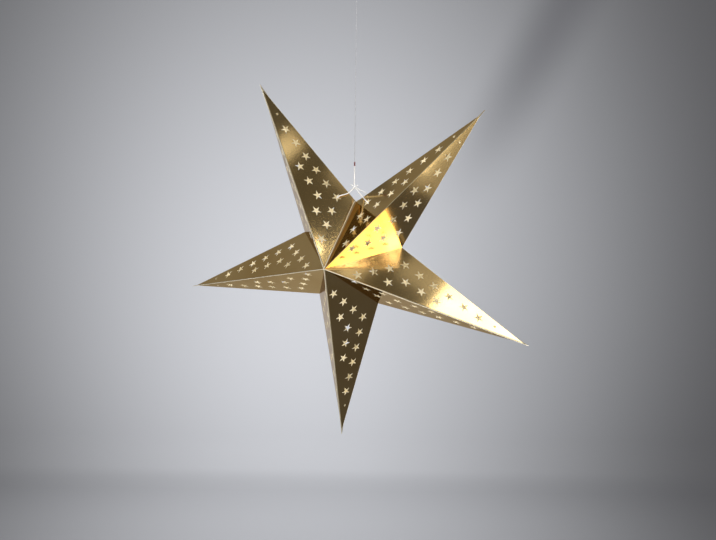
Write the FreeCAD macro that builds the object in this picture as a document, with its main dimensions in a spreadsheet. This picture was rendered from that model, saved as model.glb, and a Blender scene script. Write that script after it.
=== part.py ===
import FreeCAD, Part
import Sketcher
import math
import os

# Five-armed star lantern of punched foil card, hung by a string that laces its one open seam.
# Frame: origin where a hook carries the loop, +Z up along the line, the front apex towards -Y.
# A leaf is one card, folded on the crease from an arm's tip to a notch. Two leaves make an arm.

SIZES = [
    ("tip_radius", 315.0, "centre to the folded tip of an arm"),
    ("notch_radius", 91.5, "centre to the notch between two arms"),
    ("apex_height", 110.0, "middle plane to the front or back apex"),
    ("arm_1_angle", 121.0, "upper left arm, anticlockwise from the right, seen from the front"),
    ("arm_2_angle", 48.5, "upper right arm"),
    ("arm_3_angle", -21.5, "right arm"),
    ("arm_4_angle", -92.5, "lower arm"),
    ("arm_5_angle", -165.0, "left arm"),
    ("card_thickness", 0.4, "foil card"),
    ("fold_radius", 0.8, "outer side of the card at a crease"),
    ("ridge_fin", 2.6, "glued margins standing out along the ridges"),
    ("seam_lip", 8.0, "margins standing out along the seam that isn't glued, at the notch"),
    ("seam_lip_apex", 2.0, "the same margins at the apex"),
    ("seam_lip_cut", 9.0, "end of these margins, cut back from the middle plane"),
    ("glue_margin", 7.0, "glued margins inside the valleys"),
    ("hole_reach", 8.7, "star hole, centre to a point"),
    ("hole_waist", 3.15, "star hole, centre to an inner corner"),
    ("hole_pitch", 28.5, "from one star hole to the next in every row"),
    ("edge_row_along", 24.0, "first hole of the edge row, from the notch along the crease"),
    ("edge_row_in", 25.0, "first hole of the edge row, in from the crease"),
    ("edge_row_slant", 3.6, "edge row against the crease"),
    ("edge_row_room", 72.0, "crease left free of star holes at the tip"),
    ("seam_row_turn", 120.0, "row towards the apex, against the crease"),
    ("seam_row_room", 25.0, "valley left free of star holes at the apex"),
    ("inner_row_along", 43.5, "first hole of the inner row, along the crease"),
    ("inner_row_in", 51.2, "first hole of the inner row, in from the crease"),
    ("inner_row_slant", 9.2, "inner row against the crease"),
    ("inner_row_room", 135.0, "crease beyond the inner row"),
    ("corner_hole_along", 23.4, "single hole between the rows, along the crease"),
    ("corner_hole_in", 72.5, "single hole between the rows, in from the crease"),
    ("dot_diameter", 4.2, "round hole near the tip"),
    ("dot_from_tip", 51.5, "round hole, back from the tip along the crease"),
    ("dot_in", 9.8, "round hole, in from the crease"),
    ("knot_height", 113.6, "centre of the star up to the knot"),
    ("knot_setback", 12.0, "knot behind the middle plane"),
    ("knot_diameter", 5.6, "knot that ties the lacing"),
    ("string_diameter", 2.0, "white string"),
    ("string_clearance", 0.25, "string to card"),
    ("crossing_along", 17.0, "where the left string crosses its crease, from the notch"),
    ("string_inset", 2.2, "string's centre line from the edge of the hole that it turns over"),
    ("thread_depth", 4.0, "string inside the star, behind the card"),
    ("tail_length", 7.5, "cut ends of the string, from the knot's centre"),
    ("tail_1_lean", -50.0, "first cut end against the riser"),
    ("tail_1_swing", 20.0, "first cut end about the riser"),
    ("tail_2_lean", 62.0, "second cut end against the riser"),
    ("tail_2_swing", -15.0, "second cut end about the riser"),
    ("riser_length", 34.5, "knot centre up to the crimp"),
    ("crimp_length", 6.5, "dark crimp that joins string and line"),
    ("crimp_diameter", 2.4, "crimp"),
    ("line_diameter", 0.7, "clear line"),
    ("line_length", 259.0, "crimp up to the loop's knot"),
    ("loop_knot_diameter", 2.4, "knot below the loop"),
    ("loop_knot_height", 3.0, "knot below the loop"),
    ("loop_height", 15.0, "loop's knot up to where a hook carries it"),
    ("loop_width", 9.0, "loop, between its centre lines"),
    ("loop_belly", 6.75, "widest place of the loop, below the hook"),
    ("loop_shoulder", 7.2, "top run of the loop's route"),
    ("loop_foot_gap", 0.84, "the loop's two ends, between their centre lines"),
]

# Arm names in clockwise order, seen from the front.
ARMS = ["upper_left", "upper_right", "right", "lower", "left"]

# A face is padded past both ends of its crease before it is trimmed.
FACE_SPAN = "2.2 * sizes.tip_radius"
TRIM_WIDTH = "4 * sizes.tip_radius"
TRIM_HEIGHT = "6 * sizes.apex_height"

# Share of a run that a cord's arc may take at each end.
ARC_SHARE = 0.45

doc = FreeCAD.newDocument("star_lantern")
sheet = doc.addObject("Spreadsheet::Sheet", "sizes")
for row, (alias, value, note) in enumerate(SIZES, start=1):
    sheet.set(f"A{row}", alias)
    sheet.set(f"B{row}", str(value))
    sheet.set(f"C{row}", note)
    sheet.setAlias(f"B{row}", alias)
doc.recompute()

UP = FreeCAD.Vector(0, 0, 1)


def size(alias):
    """The value of one cell."""
    return float(sheet.get(alias))


# Derived angles and lengths that several pieces share

def shared_values(name, formulas):
    """A set of named values that follow the sheet."""
    values = doc.addObject("App::VarSet", name)
    for key, formula in formulas.items():
        values.addProperty("App::PropertyFloat", key)
        values.setExpression(key, formula)
    return values


shared_values("edges", {
    "ridge_run": "sqrt(sizes.tip_radius^2 + sizes.apex_height^2)",
    "valley_run": "sqrt(sizes.notch_radius^2 + sizes.apex_height^2)",
})


def fold_values(index):
    """The crease geometry that the two leaves beside one notch share."""
    first = f"sizes.arm_{index + 1}_angle"
    second = f"sizes.arm_{(index + 1) % 5 + 1}_angle"
    whole_turn = " + 360" if index == 4 else ""
    name = f"fold_{index + 1}"
    shared_values(name, {
        "half_gap": f"({first} - {second}{whole_turn}) / 2",
        "crease_length": "sqrt(sizes.tip_radius^2 + sizes.notch_radius^2"
                         f" - 2 * sizes.tip_radius * sizes.notch_radius * cos({name}.half_gap))",
        "crease_distance": f"sizes.tip_radius * sizes.notch_radius * sin({name}.half_gap)"
                           f" / {name}.crease_length",
        "crease_lean": f"asin(sizes.notch_radius * sin({name}.half_gap) / {name}.crease_length)"
                       " / 1 deg",
        "face_run": f"sqrt({name}.crease_distance^2 + sizes.apex_height^2)",
        "face_tilt": f"atan(sizes.apex_height / {name}.crease_distance) / 1 deg",
    })
    return name


FOLDS = [fold_values(index) for index in range(5)]
doc.recompute()


def value(formula):
    """The number that a formula on the sheet gives."""
    return float(sheet.evalExpression(formula))


# Sketches of the leaf

def origin_plane(body, role):
    """One of the body's own origin planes."""
    return [item for item in body.Origin.OriginFeatures if item.Role == role][0]


def new_sketch(body, name, role, offset=None):
    """An empty sketch on an origin plane, moved by a placement formula."""
    sketch = body.newObject("Sketcher::SketchObject", name)
    sketch.AttachmentSupport = [(origin_plane(body, role), "")]
    sketch.MapMode = "FlatFace"
    if offset:
        sketch.setExpression("AttachmentOffset", offset)
    return sketch


def dimension(sketch, kind, formula, *elements):
    """A dimension of a sketch that follows a formula."""
    index = sketch.addConstraint(Sketcher.Constraint(kind, *elements, value(formula)))
    sketch.setExpression(f"Constraints[{index}]", formula)


def close_outline(sketch, count):
    """Join the ends of lines 0 to count - 1 into one outline."""
    for line in range(count):
        sketch.addConstraint(Sketcher.Constraint("Coincident", line, 2, (line + 1) % count, 1))


def axial_turn(angle):
    """Placement formula that turns a plane through the star's axis."""
    return f"placement(vector(0; 0; 0); rotation(vector(0; 1; 0); {angle}))"


def slant_strip(body, name, turn, outer, inner):
    """A strip between two slanting lines, each from the horizontal axis up to the star's axis."""
    sketch = new_sketch(body, name, "XZ_Plane", axial_turn(turn))
    corners = [(value(outer[0]), 0), (0, value(outer[1])), (0, value(inner[1])), (value(inner[0]), 0)]
    points = [FreeCAD.Vector(x, y, 0) for x, y in corners]
    for start, end in zip(points, points[1:] + points[:1]):
        sketch.addGeometry(Part.LineSegment(start, end))
    close_outline(sketch, 4)
    for line, axis in ((0, -1), (1, -2), (2, -2), (3, -1)):
        sketch.addConstraint(Sketcher.Constraint("PointOnObject", line, 1, axis))
    dimension(sketch, "DistanceX", outer[0], -1, 1, 0, 1)
    dimension(sketch, "DistanceY", outer[1], -1, 1, 1, 1)
    dimension(sketch, "DistanceY", inner[1], -1, 1, 2, 1)
    dimension(sketch, "DistanceX", inner[0], -1, 1, 3, 1)
    return sketch


def lip_strip(body, name, turn):
    """A margin outside a valley, narrower towards the apex and cut back at the notch."""
    sketch = new_sketch(body, name, "XZ_Plane", axial_turn(turn))
    reach = moved_out("notch_radius", "valley_run", "sizes.seam_lip")[0]
    top = moved_out("notch_radius", "valley_run", "sizes.seam_lip_apex")[1]
    inner = moved_out("notch_radius", "valley_run", "(-sizes.card_thickness)")
    corner = f"({reach}) * (1 - sizes.seam_lip_cut / ({top}))"
    outline = [("sizes.notch_radius", 0), (corner, "sizes.seam_lip_cut"), (0, top),
               (0, inner[1]), (inner[0], 0)]
    points = [FreeCAD.Vector(*[value(item) if item else 0 for item in pair], 0)
              for pair in outline]
    for start, end in zip(points, points[1:] + points[:1]):
        sketch.addGeometry(Part.LineSegment(start, end))
    close_outline(sketch, 5)
    for line, axis in ((0, -1), (2, -2), (3, -2), (4, -1)):
        sketch.addConstraint(Sketcher.Constraint("PointOnObject", line, 1, axis))
    for line, (along, upward) in enumerate(outline):
        if along:
            dimension(sketch, "DistanceX", along, -1, 1, line, 1)
        if upward:
            dimension(sketch, "DistanceY", upward, -1, 1, line, 1)
    return sketch


def folded_strip(body, name, turn, fold):
    """Section of a folded face: two parallel slanting lines that end in arcs at the crease."""
    sketch = new_sketch(body, name, "XZ_Plane", axial_turn(turn))
    bend_centre = f"{fold}.crease_distance - sizes.fold_radius * {fold}.face_run / sizes.apex_height"
    outer_height = "sizes.apex_height"
    inner_height = (f"sizes.apex_height"
                    f" - sizes.card_thickness * {fold}.face_run / {fold}.crease_distance")
    radii = ["sizes.fold_radius", "sizes.fold_radius - sizes.card_thickness"]
    centre = FreeCAD.Vector(value(bend_centre), 0, 0)
    bend = math.radians(90 - value(f"{fold}.face_tilt"))
    outer_arc, inner_arc = [
        Part.ArcOfCircle(Part.Circle(centre, UP, value(radius)), 0, bend) for radius in radii]
    outer_top = FreeCAD.Vector(0, value(outer_height), 0)
    inner_top = FreeCAD.Vector(0, value(inner_height), 0)
    sketch.addGeometry(Part.LineSegment(outer_arc.EndPoint, outer_top))
    sketch.addGeometry(Part.LineSegment(outer_top, inner_top))
    sketch.addGeometry(Part.LineSegment(inner_top, inner_arc.EndPoint))
    sketch.addGeometry(Part.LineSegment(inner_arc.StartPoint, outer_arc.StartPoint))
    sketch.addGeometry(outer_arc)
    sketch.addGeometry(inner_arc)
    for joint in ((0, 2, 1, 1), (1, 2, 2, 1), (3, 2, 4, 1), (3, 1, 5, 1), (4, 3, 5, 3)):
        sketch.addConstraint(Sketcher.Constraint("Coincident", *joint))
    for joint in ((4, 2, 0, 1), (5, 2, 2, 2)):
        sketch.addConstraint(Sketcher.Constraint("Tangent", *joint))
    for line, end, axis in ((0, 2, -2), (2, 1, -2), (3, 1, -1), (3, 2, -1), (4, 3, -1)):
        sketch.addConstraint(Sketcher.Constraint("PointOnObject", line, end, axis))
    dimension(sketch, "DistanceX", bend_centre, -1, 1, 4, 3)
    dimension(sketch, "Radius", radii[0], 4)
    dimension(sketch, "Radius", radii[1], 5)
    dimension(sketch, "DistanceY", outer_height, -1, 1, 0, 2)
    dimension(sketch, "DistanceY", inner_height, -1, 1, 2, 1)
    return sketch


def moved_out(base_radius, run, amount):
    """Axis crossings of the slanting edge of a triangle after it moves out by an amount."""
    radius = f"sizes.{base_radius} + {amount} * edges.{run} / sizes.apex_height"
    height = f"sizes.apex_height + {amount} * edges.{run} / sizes.{base_radius}"
    return radius, height


def pad(body, name, sketch, length, symmetric=False, away=False):
    """Card of a given thickness on a sketch."""
    feature = body.newObject("PartDesign::Pad", name)
    feature.Profile = sketch
    feature.setExpression("Length", length)
    feature.SideType = "Symmetric" if symmetric else "One side"
    feature.Reversed = away
    return feature


def trim(body, name, turn, away):
    """Cut off all that lies beyond one plane through the star's axis."""
    sketch = new_sketch(body, f"{name}_plane", "XZ_Plane", axial_turn(turn))
    reach = value(TRIM_WIDTH) / 2
    height = value(TRIM_HEIGHT) / 2
    points = [FreeCAD.Vector(x, y, 0) for x, y in
              ((reach, height), (-reach, height), (-reach, -height), (reach, -height))]
    for start, end in zip(points, points[1:] + points[:1]):
        sketch.addGeometry(Part.LineSegment(start, end))
    close_outline(sketch, 4)
    for line, kind in ((0, "Horizontal"), (1, "Vertical"), (2, "Horizontal"), (3, "Vertical")):
        sketch.addConstraint(Sketcher.Constraint(kind, line))
    sketch.addConstraint(Sketcher.Constraint("Symmetric", 0, 1, 2, 1, -1, 1))
    dimension(sketch, "DistanceX", TRIM_WIDTH, 0, 2, 0, 1)
    dimension(sketch, "DistanceY", TRIM_HEIGHT, 3, 1, 3, 2)
    cut = body.newObject("PartDesign::Pocket", name)
    cut.Profile = sketch
    cut.Type = "ThroughAll"
    cut.Reversed = away
    return cut


# Holes of the leaf. They are laid out on the front face: u from the notch along the crease
# towards the tip, v from the crease towards the apex.

def on_face(side, fold, along, inward, turn="0"):
    """Placement formula of a point on the outer side of the front face."""
    notch = (f"vector(sizes.notch_radius * cos({fold}.half_gap);"
             f" {side} * sizes.notch_radius * sin({fold}.half_gap); 0)")
    tilt = f"180 - {fold}.face_tilt" if side > 0 else f"{fold}.face_tilt"
    frame = (f"placement({notch}; rotation(vector(0; 0; 1); {-side} * {fold}.crease_lean)"
             f" * rotation(vector(1; 0; 0); {tilt}))")
    spot = f"placement(vector({along}; {inward}; 0); rotation(vector(0; 0; 1); {turn}))"
    return f"{frame} * {spot}"


def star_hole(body, name, side, place, row_turn=None):
    """One star hole through the front face, a point towards the sketch's own x axis."""
    sketch = new_sketch(body, f"{name}_outline", "XY_Plane", place)
    radii = [size("hole_reach"), size("hole_waist")]
    points = []
    for step in range(10):
        turn = math.radians(36 * step)
        radius = radii[step % 2]
        points.append(FreeCAD.Vector(radius * math.cos(turn), radius * math.sin(turn), 0))
    for start, end in zip(points, points[1:] + points[:1]):
        sketch.addGeometry(Part.LineSegment(start, end))
    close_outline(sketch, 10)
    sketch.addConstraint(Sketcher.Constraint("PointOnObject", 0, 1, -1))
    for line in range(1, 10):
        sketch.addConstraint(Sketcher.Constraint("Equal", 0, line))
    for offset, alias in ((0, "hole_reach"), (1, "hole_waist")):
        circle = sketch.addGeometry(Part.Circle(FreeCAD.Vector(), UP, size(alias)), True)
        sketch.addConstraint(Sketcher.Constraint("Coincident", circle, 3, -1, 1))
        dimension(sketch, "Radius", f"sizes.{alias}", circle)
        for line in range(offset, 10, 2):
            sketch.addConstraint(Sketcher.Constraint("PointOnObject", line, 1, circle))
    if row_turn:
        turn = math.radians(value(row_turn))
        end = FreeCAD.Vector(math.cos(turn), math.sin(turn), 0) * size("hole_pitch")
        guide = sketch.addGeometry(Part.LineSegment(FreeCAD.Vector(), end), True)
        sketch.addConstraint(Sketcher.Constraint("Coincident", guide, 1, -1, 1))
        dimension(sketch, "Distance", "sizes.hole_pitch", guide)
        index = sketch.addConstraint(Sketcher.Constraint("Angle", -1, 1, guide, 1, turn))
        sketch.setExpression(f"Constraints[{index}]", f"({row_turn}) * 1 deg")
    return punch(body, name, side, sketch)


def punch(body, name, side, sketch):
    """Cut a sketch on the front face through the card."""
    hole = body.newObject("PartDesign::Pocket", name)
    hole.Profile = sketch
    hole.setExpression("Length", "2 * sizes.card_thickness")
    hole.Reversed = side > 0
    return hole


def hole_row(body, name, hole, sketch, count):
    """Repeat a hole along the guide line of a sketch, as often as there is room."""
    row = body.newObject("PartDesign::LinearPattern", name)
    row.Originals = [hole]
    row.Direction = (sketch, ["Axis0"])
    row.Mode = "Spacing"
    row.setExpression("Offset", "sizes.hole_pitch")
    row.setExpression("Occurrences", count)
    body.Tip = row
    return row


def punch_holes(body, side, fold):
    """The star holes and the round hole of one front face."""
    edge_place = on_face(side, fold, "sizes.edge_row_along", "sizes.edge_row_in")
    edge_hole = star_hole(body, "edge_hole", side, edge_place, "-sizes.edge_row_slant")
    edge_room = f"{fold}.crease_length - sizes.edge_row_along - sizes.edge_row_room"
    hole_row(body, "edge_row", edge_hole, edge_hole.Profile[0],
             f"floor(({edge_room}) / sizes.hole_pitch) + 1")

    step = "sizes.hole_pitch"
    seam_place = on_face(
        side, fold,
        f"sizes.edge_row_along + {step} * cos(sizes.seam_row_turn)",
        f"sizes.edge_row_in + {step} * sin(sizes.seam_row_turn)")
    seam_hole = star_hole(body, "seam_hole", side, seam_place, "sizes.seam_row_turn")
    seam_room = f"edges.valley_run - sizes.edge_row_in - {step} - sizes.seam_row_room"
    hole_row(body, "seam_row", seam_hole, seam_hole.Profile[0],
             f"floor(({seam_room}) / sizes.hole_pitch) + 1")

    ridge_turn = f"-asin({fold}.face_run / edges.ridge_run) / 1 deg"
    inner_place = on_face(side, fold, "sizes.inner_row_along", "sizes.inner_row_in", ridge_turn)
    inner_hole = star_hole(body, "inner_hole", side, inner_place,
                           f"-sizes.inner_row_slant - ({ridge_turn})")
    inner_room = f"{fold}.crease_length - sizes.inner_row_along - sizes.inner_row_room"
    hole_row(body, "inner_row", inner_hole, inner_hole.Profile[0],
             f"floor(({inner_room}) / sizes.hole_pitch) + 1")

    corner_place = on_face(side, fold, "sizes.corner_hole_along", "sizes.corner_hole_in")
    star_hole(body, "corner_hole", side, corner_place)

    dot_place = on_face(side, fold, f"{fold}.crease_length - sizes.dot_from_tip", "sizes.dot_in")
    dot = new_sketch(body, "dot_outline", "XY_Plane", dot_place)
    dot.addGeometry(Part.Circle(FreeCAD.Vector(), UP, size("dot_diameter") / 2))
    dot.addConstraint(Sketcher.Constraint("Coincident", 0, 3, -1, 1))
    dimension(dot, "Diameter", "sizes.dot_diameter", 0)
    punch(body, "dot_hole", side, dot)


def leaf(arm, side, open_seam):
    """One folded card: side 1 is an arm's left half and -1 its right, its tip pointing up."""
    hand = "left" if side > 0 else "right"
    fold = FOLDS[arm] if side < 0 else FOLDS[arm - 1]
    body = doc.addObject("PartDesign::Body", f"{ARMS[arm]}_arm_{hand}_leaf")
    body.Label = f"{ARMS[arm]}_arm_{hand}_leaf"

    # Front face: the slanting section runs along the crease
    section = folded_strip(body, "face_section", f"{side} * (90 - {fold}.crease_lean)", fold)
    pad(body, "face", section, FACE_SPAN, symmetric=True)

    # Margin that stands out along the ridge, against the other leaf of the arm
    ridge = slant_strip(body, "ridge_outline", "0",
                        moved_out("tip_radius", "ridge_run", "sizes.ridge_fin"),
                        moved_out("tip_radius", "ridge_run", "(-sizes.card_thickness)"))
    pad(body, "ridge_margin", ridge, "sizes.card_thickness", away=side > 0)

    # Margin along the valley, inside and glued, or standing out where the seam is laced
    valley_turn = f"{side} * {fold}.half_gap"
    if open_seam:
        valley = lip_strip(body, "valley_outline", valley_turn)
    else:
        valley = slant_strip(body, "valley_outline", valley_turn,
                             ("sizes.notch_radius", "sizes.apex_height"),
                             moved_out("notch_radius", "valley_run", "(-sizes.glue_margin)"))
    pad(body, "valley_margin", valley, "sizes.card_thickness", away=side < 0)

    trim(body, "arm_cut", "0", away=side > 0)
    trim(body, "valley_cut", valley_turn, away=side < 0)
    punch_holes(body, side, fold)

    # Back face, like the front one
    back = body.newObject("PartDesign::Mirrored", "back_half")
    back.TransformMode = "Whole shape"
    back.MirrorPlane = (origin_plane(body, "XY_Plane"), [""])
    body.Tip = back

    body.setExpression("Placement", star_placement(f"sizes.arm_{arm + 1}_angle"))
    return body


# Places of the star and of what hangs it

KNOT_DROP = ("(sizes.loop_height + sizes.line_length + sizes.crimp_length"
             " + sizes.riser_length)")


def star_placement(turn):
    """Placement formula of the star: its axis towards -Y, its middle plane before the knot."""
    centre = f"vector(0; -sizes.knot_setback; -{KNOT_DROP} - sizes.knot_height)"
    return (f"placement({centre}; rotation(vector(1; 0; 0); 90)"
            f" * rotation(vector(0; 0; 1); {turn}))")


def height_placement(formula):
    """Placement formula of something upright on the line."""
    return f"placement(vector(0; 0; {formula}); rotation(vector(0; 0; 1); 0))"


def primitive(kind, name, place, **formulas):
    """A primitive whose sizes and place follow the sheet."""
    item = doc.addObject(kind, name)
    for key, formula in formulas.items():
        item.setExpression(key, formula)
    item.setExpression("Placement", place)
    return item


def rounded_path(points):
    """Straight runs joined by tangent arcs, each as large as its two runs allow."""
    edges = []
    radii = []
    start = points[0]
    for before, corner, after in zip(points, points[1:], points[2:]):
        arriving = (corner - before).normalize()
        leaving = (after - corner).normalize()
        half_turn = arriving.getAngle(leaving) / 2
        reach = ARC_SHARE * min((corner - before).Length, (after - corner).Length)
        radii.append(reach / math.tan(half_turn))
        arc_start = corner - arriving * reach
        arc_end = corner + leaving * reach
        inward = (leaving - arriving).normalize()
        middle = corner + inward * (radii[-1] / math.cos(half_turn) - radii[-1])
        edges.append(Part.LineSegment(start, arc_start).toShape())
        edges.append(Part.Arc(arc_start, middle, arc_end).toShape())
        start = arc_end
    edges.append(Part.LineSegment(start, points[-1]).toShape())
    return Part.Wire(edges), radii


def tube(name, points, diameter):
    """A round cord along a route, closed at both ends."""
    path, radii = rounded_path(points)
    heading = points[1] - points[0]
    section = Part.Wire(Part.Circle(points[0], heading, diameter / 2).toShape())
    solid = path.makePipeShell([section], True, False)
    section_area = math.pi * diameter ** 2 / 4
    fullness = solid.Volume / (section_area * path.Length)
    print(f"{name}: length {path.Length:.1f}, volume ratio {fullness:.3f}, radii",
          [round(radius, 1) for radius in radii])
    cord = doc.addObject("Part::Feature", name)
    cord.Shape = solid
    return cord


def cut_from(name, base, tool):
    """A piece that ends where another one begins."""
    cut = doc.addObject("Part::Cut", name)
    cut.Label = name
    cut.Base = base
    cut.Tool = tool
    return cut


# Leaves: the seam between the two upper arms isn't glued

leaves = []
for arm_index in range(5):
    for leaf_side in (1, -1):
        at_seam = (arm_index, leaf_side) in ((0, -1), (1, 1))
        leaves.append(leaf(arm_index, leaf_side, at_seam))

# Knot, with two cut ends, and what rises from it

knot_place = height_placement(f"-{KNOT_DROP}")
knot_ball = primitive("Part::Sphere", "knot_ball", knot_place, Radius="sizes.knot_diameter / 2")
knot_parts = [knot_ball]
for tail in ("tail_1", "tail_2"):
    tail_place = (f"placement(vector(0; 0; -{KNOT_DROP});"
                  f" rotation(vector(0; 0; 1); sizes.{tail}_swing)"
                  f" * rotation(vector(0; 1; 0); sizes.{tail}_lean))")
    knot_parts.append(primitive("Part::Cylinder", tail, tail_place,
                                Radius="sizes.string_diameter / 2", Height="sizes.tail_length"))
knot = doc.addObject("Part::MultiFuse", "tie_knot")
knot.Shapes = knot_parts

riser_tube = primitive("Part::Cylinder", "riser_tube", knot_place,
                       Radius="sizes.string_diameter / 2", Height="sizes.riser_length")
riser = cut_from("riser_string", riser_tube, knot_ball)

crimp = primitive("Part::Cylinder", "crimp",
                  height_placement(f"-{KNOT_DROP} + sizes.riser_length"),
                  Radius="sizes.crimp_diameter / 2", Height="sizes.crimp_length")

line = primitive("Part::Cylinder", "hanging_line",
                 height_placement("-sizes.loop_height - sizes.line_length"),
                 Radius="sizes.line_diameter / 2",
                 Height="sizes.line_length - sizes.loop_knot_height / 2")

loop_knot = primitive("Part::Cylinder", "loop_knot",
                      height_placement("-sizes.loop_height - sizes.loop_knot_height / 2"),
                      Radius="sizes.loop_knot_diameter / 2", Height="sizes.loop_knot_height")

# Loop: from its knot up one side, over the hook and down the other

loop_top = size("line_diameter") / 2
loop_left = [
    FreeCAD.Vector(-size("loop_foot_gap") / 2, 0, -size("loop_height")),
    FreeCAD.Vector(-size("loop_width") / 2, 0, -size("loop_belly")),
    FreeCAD.Vector(-size("loop_shoulder") / 2, 0, loop_top),
]
loop_right = [FreeCAD.Vector(-point.x, 0, point.z) for point in reversed(loop_left)]
loop_route = loop_left + loop_right
loop_tube = tube("loop_tube", loop_route, size("line_diameter"))
loop = cut_from("line_loop", loop_tube, loop_knot)

# Lacing: one string each side, out of the front hole, up to the knot and in at the back hole.
# Its route is set out in the star's own frame: x right, y up, z towards the front.

doc.recompute()
STAR = FreeCAD.Placement(
    FreeCAD.Vector(0, -size("knot_setback"), -value(KNOT_DROP) - size("knot_height")),
    FreeCAD.Rotation(FreeCAD.Vector(1, 0, 0), 90))
KNOT_POINT = FreeCAD.Vector(0, size("knot_height"), -size("knot_setback"))


def polar(radius, degrees, height=0.0):
    """A point in the star's frame."""
    turn = math.radians(degrees)
    return FreeCAD.Vector(radius * math.cos(turn), radius * math.sin(turn), height)


def seam_face(arm, layer):
    """Notch, along, inward and outward directions of an upper arm's face at the seam."""
    tip = polar(size("tip_radius"), size(f"arm_{arm}_angle"))
    notch_angle = (size("arm_1_angle") + size("arm_2_angle")) / 2
    notch = polar(size("notch_radius"), notch_angle)
    apex = FreeCAD.Vector(0, 0, layer * size("apex_height"))
    along = (tip - notch).normalize()
    inward = apex - notch
    inward = (inward - along * inward.dot(along)).normalize()
    outward = along.cross(inward).normalize()
    if outward.z * layer < 0:
        outward = -outward
    return notch, along, inward, outward


def threading(arm, layer, towards):
    """Where the string turns over the lower edge of a hole, and where it is inside the star."""
    notch, along, inward, outward = seam_face(arm, layer)
    hole = notch + along * size("edge_row_along") + inward * size("edge_row_in")
    pull = towards - hole
    pull = (pull - outward * pull.dot(outward)).normalize()
    lift = size("string_diameter") / 2 + size("string_clearance")
    spot = hole + pull * (size("hole_waist") - size("string_inset"))
    return spot + outward * lift, spot - outward * size("thread_depth")


def crease_crossing():
    """Where the left string bends over its crease, clear of the card."""
    notch, along, inward, outward = seam_face(1, 1)
    away = polar(1, size("arm_1_angle")).cross(UP)
    away = (away - along * away.dot(along)).normalize()
    clear = size("string_diameter") + size("string_clearance")
    return notch + along * size("crossing_along") + away * clear + UP * clear


def place_route(points):
    """A route in the star's frame, in the frame of the whole part."""
    return [STAR.multVec(point) for point in points]


crossing = crease_crossing()
front_over, front_in = threading(1, 1, crossing)
back_over, back_in = threading(1, -1, KNOT_POINT)
left_route = place_route([KNOT_POINT, crossing, front_over, front_in, back_in, back_over, KNOT_POINT])
left_tube = tube("left_tube", left_route, size("string_diameter"))
left_tie = cut_from("left_tie_string", left_tube, knot_ball)

front_over, front_in = threading(2, 1, KNOT_POINT)
back_over, back_in = threading(2, -1, KNOT_POINT)
right_route = place_route([KNOT_POINT, front_over, front_in, back_in, back_over, KNOT_POINT])
right_tube = tube("right_tube", right_route, size("string_diameter"))
right_tie = cut_from("right_tie_string", right_tube, knot_ball)

doc.recompute()

# Checks and files

nodes = leaves + [left_tie, right_tie, knot, riser, crimp, line, loop_knot, loop]
for item in doc.Objects:
    if "Invalid" in item.State or "Error" in item.State:
        raise RuntimeError(f"{item.Label} failed: {item.State}")
for node in nodes:
    if node.Shape.isNull() or not node.Shape.isValid():
        raise RuntimeError(f"{node.Label} has no valid shape")

os.makedirs("parts", exist_ok=True)
for node in nodes:
    shape = node.Shape
    print(node.Label, "solids", len(shape.Solids), "volume", round(shape.Volume, 1))
    shape.exportStep(os.path.join("parts", f"{node.Label}.step"))
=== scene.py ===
import logging
import math
from dataclasses import dataclass, field
from enum import Enum

import bpy
from mathutils import Matrix, Vector


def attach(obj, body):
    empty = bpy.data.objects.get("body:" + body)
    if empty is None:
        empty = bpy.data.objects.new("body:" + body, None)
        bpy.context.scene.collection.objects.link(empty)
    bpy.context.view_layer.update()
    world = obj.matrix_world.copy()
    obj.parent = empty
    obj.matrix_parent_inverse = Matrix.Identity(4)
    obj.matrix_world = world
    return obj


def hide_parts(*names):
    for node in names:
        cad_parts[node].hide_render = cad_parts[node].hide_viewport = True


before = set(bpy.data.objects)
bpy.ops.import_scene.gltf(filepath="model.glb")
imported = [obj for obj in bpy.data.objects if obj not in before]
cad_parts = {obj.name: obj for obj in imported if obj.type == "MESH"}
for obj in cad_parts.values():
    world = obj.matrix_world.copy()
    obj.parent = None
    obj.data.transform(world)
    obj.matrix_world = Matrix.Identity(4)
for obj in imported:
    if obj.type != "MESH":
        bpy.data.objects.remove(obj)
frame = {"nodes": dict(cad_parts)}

log = logging.getLogger("star_lantern")

Colour = tuple[float, float, float]
Point = tuple[float, float, float]

# The star in metres: its centre, how far its faces lie from there and its card's thickness
STAR_CENTRE: Point = (0.0, -0.012, -0.4286)
FACE_DISTANCE = 0.0582
CARD = 0.0004

# How much of a face's normal points along the star's axis, from front to back
FACE_AXIAL = 0.529

# Arms in degrees from +X towards +Z, and the one whose ridge edge gets painted shade
ARM_ANGLES = (121.0, 48.5, -21.5, -92.5, -165.0)
SHADED_RIDGE_ARM = ARM_ANGLES[1]

# Edges of round things that turn by more than this stay sharp
ROUND_CREASE = math.radians(60)


class Ply(Enum):
    """How many yarns a string is twisted from."""

    TWO = 2
    THREE = 3


# A string's thickness in radii of one of its yarns
YARN_RADII = {Ply.TWO: 4.0, Ply.THREE: 4.31}

# Shader arithmetic


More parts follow.
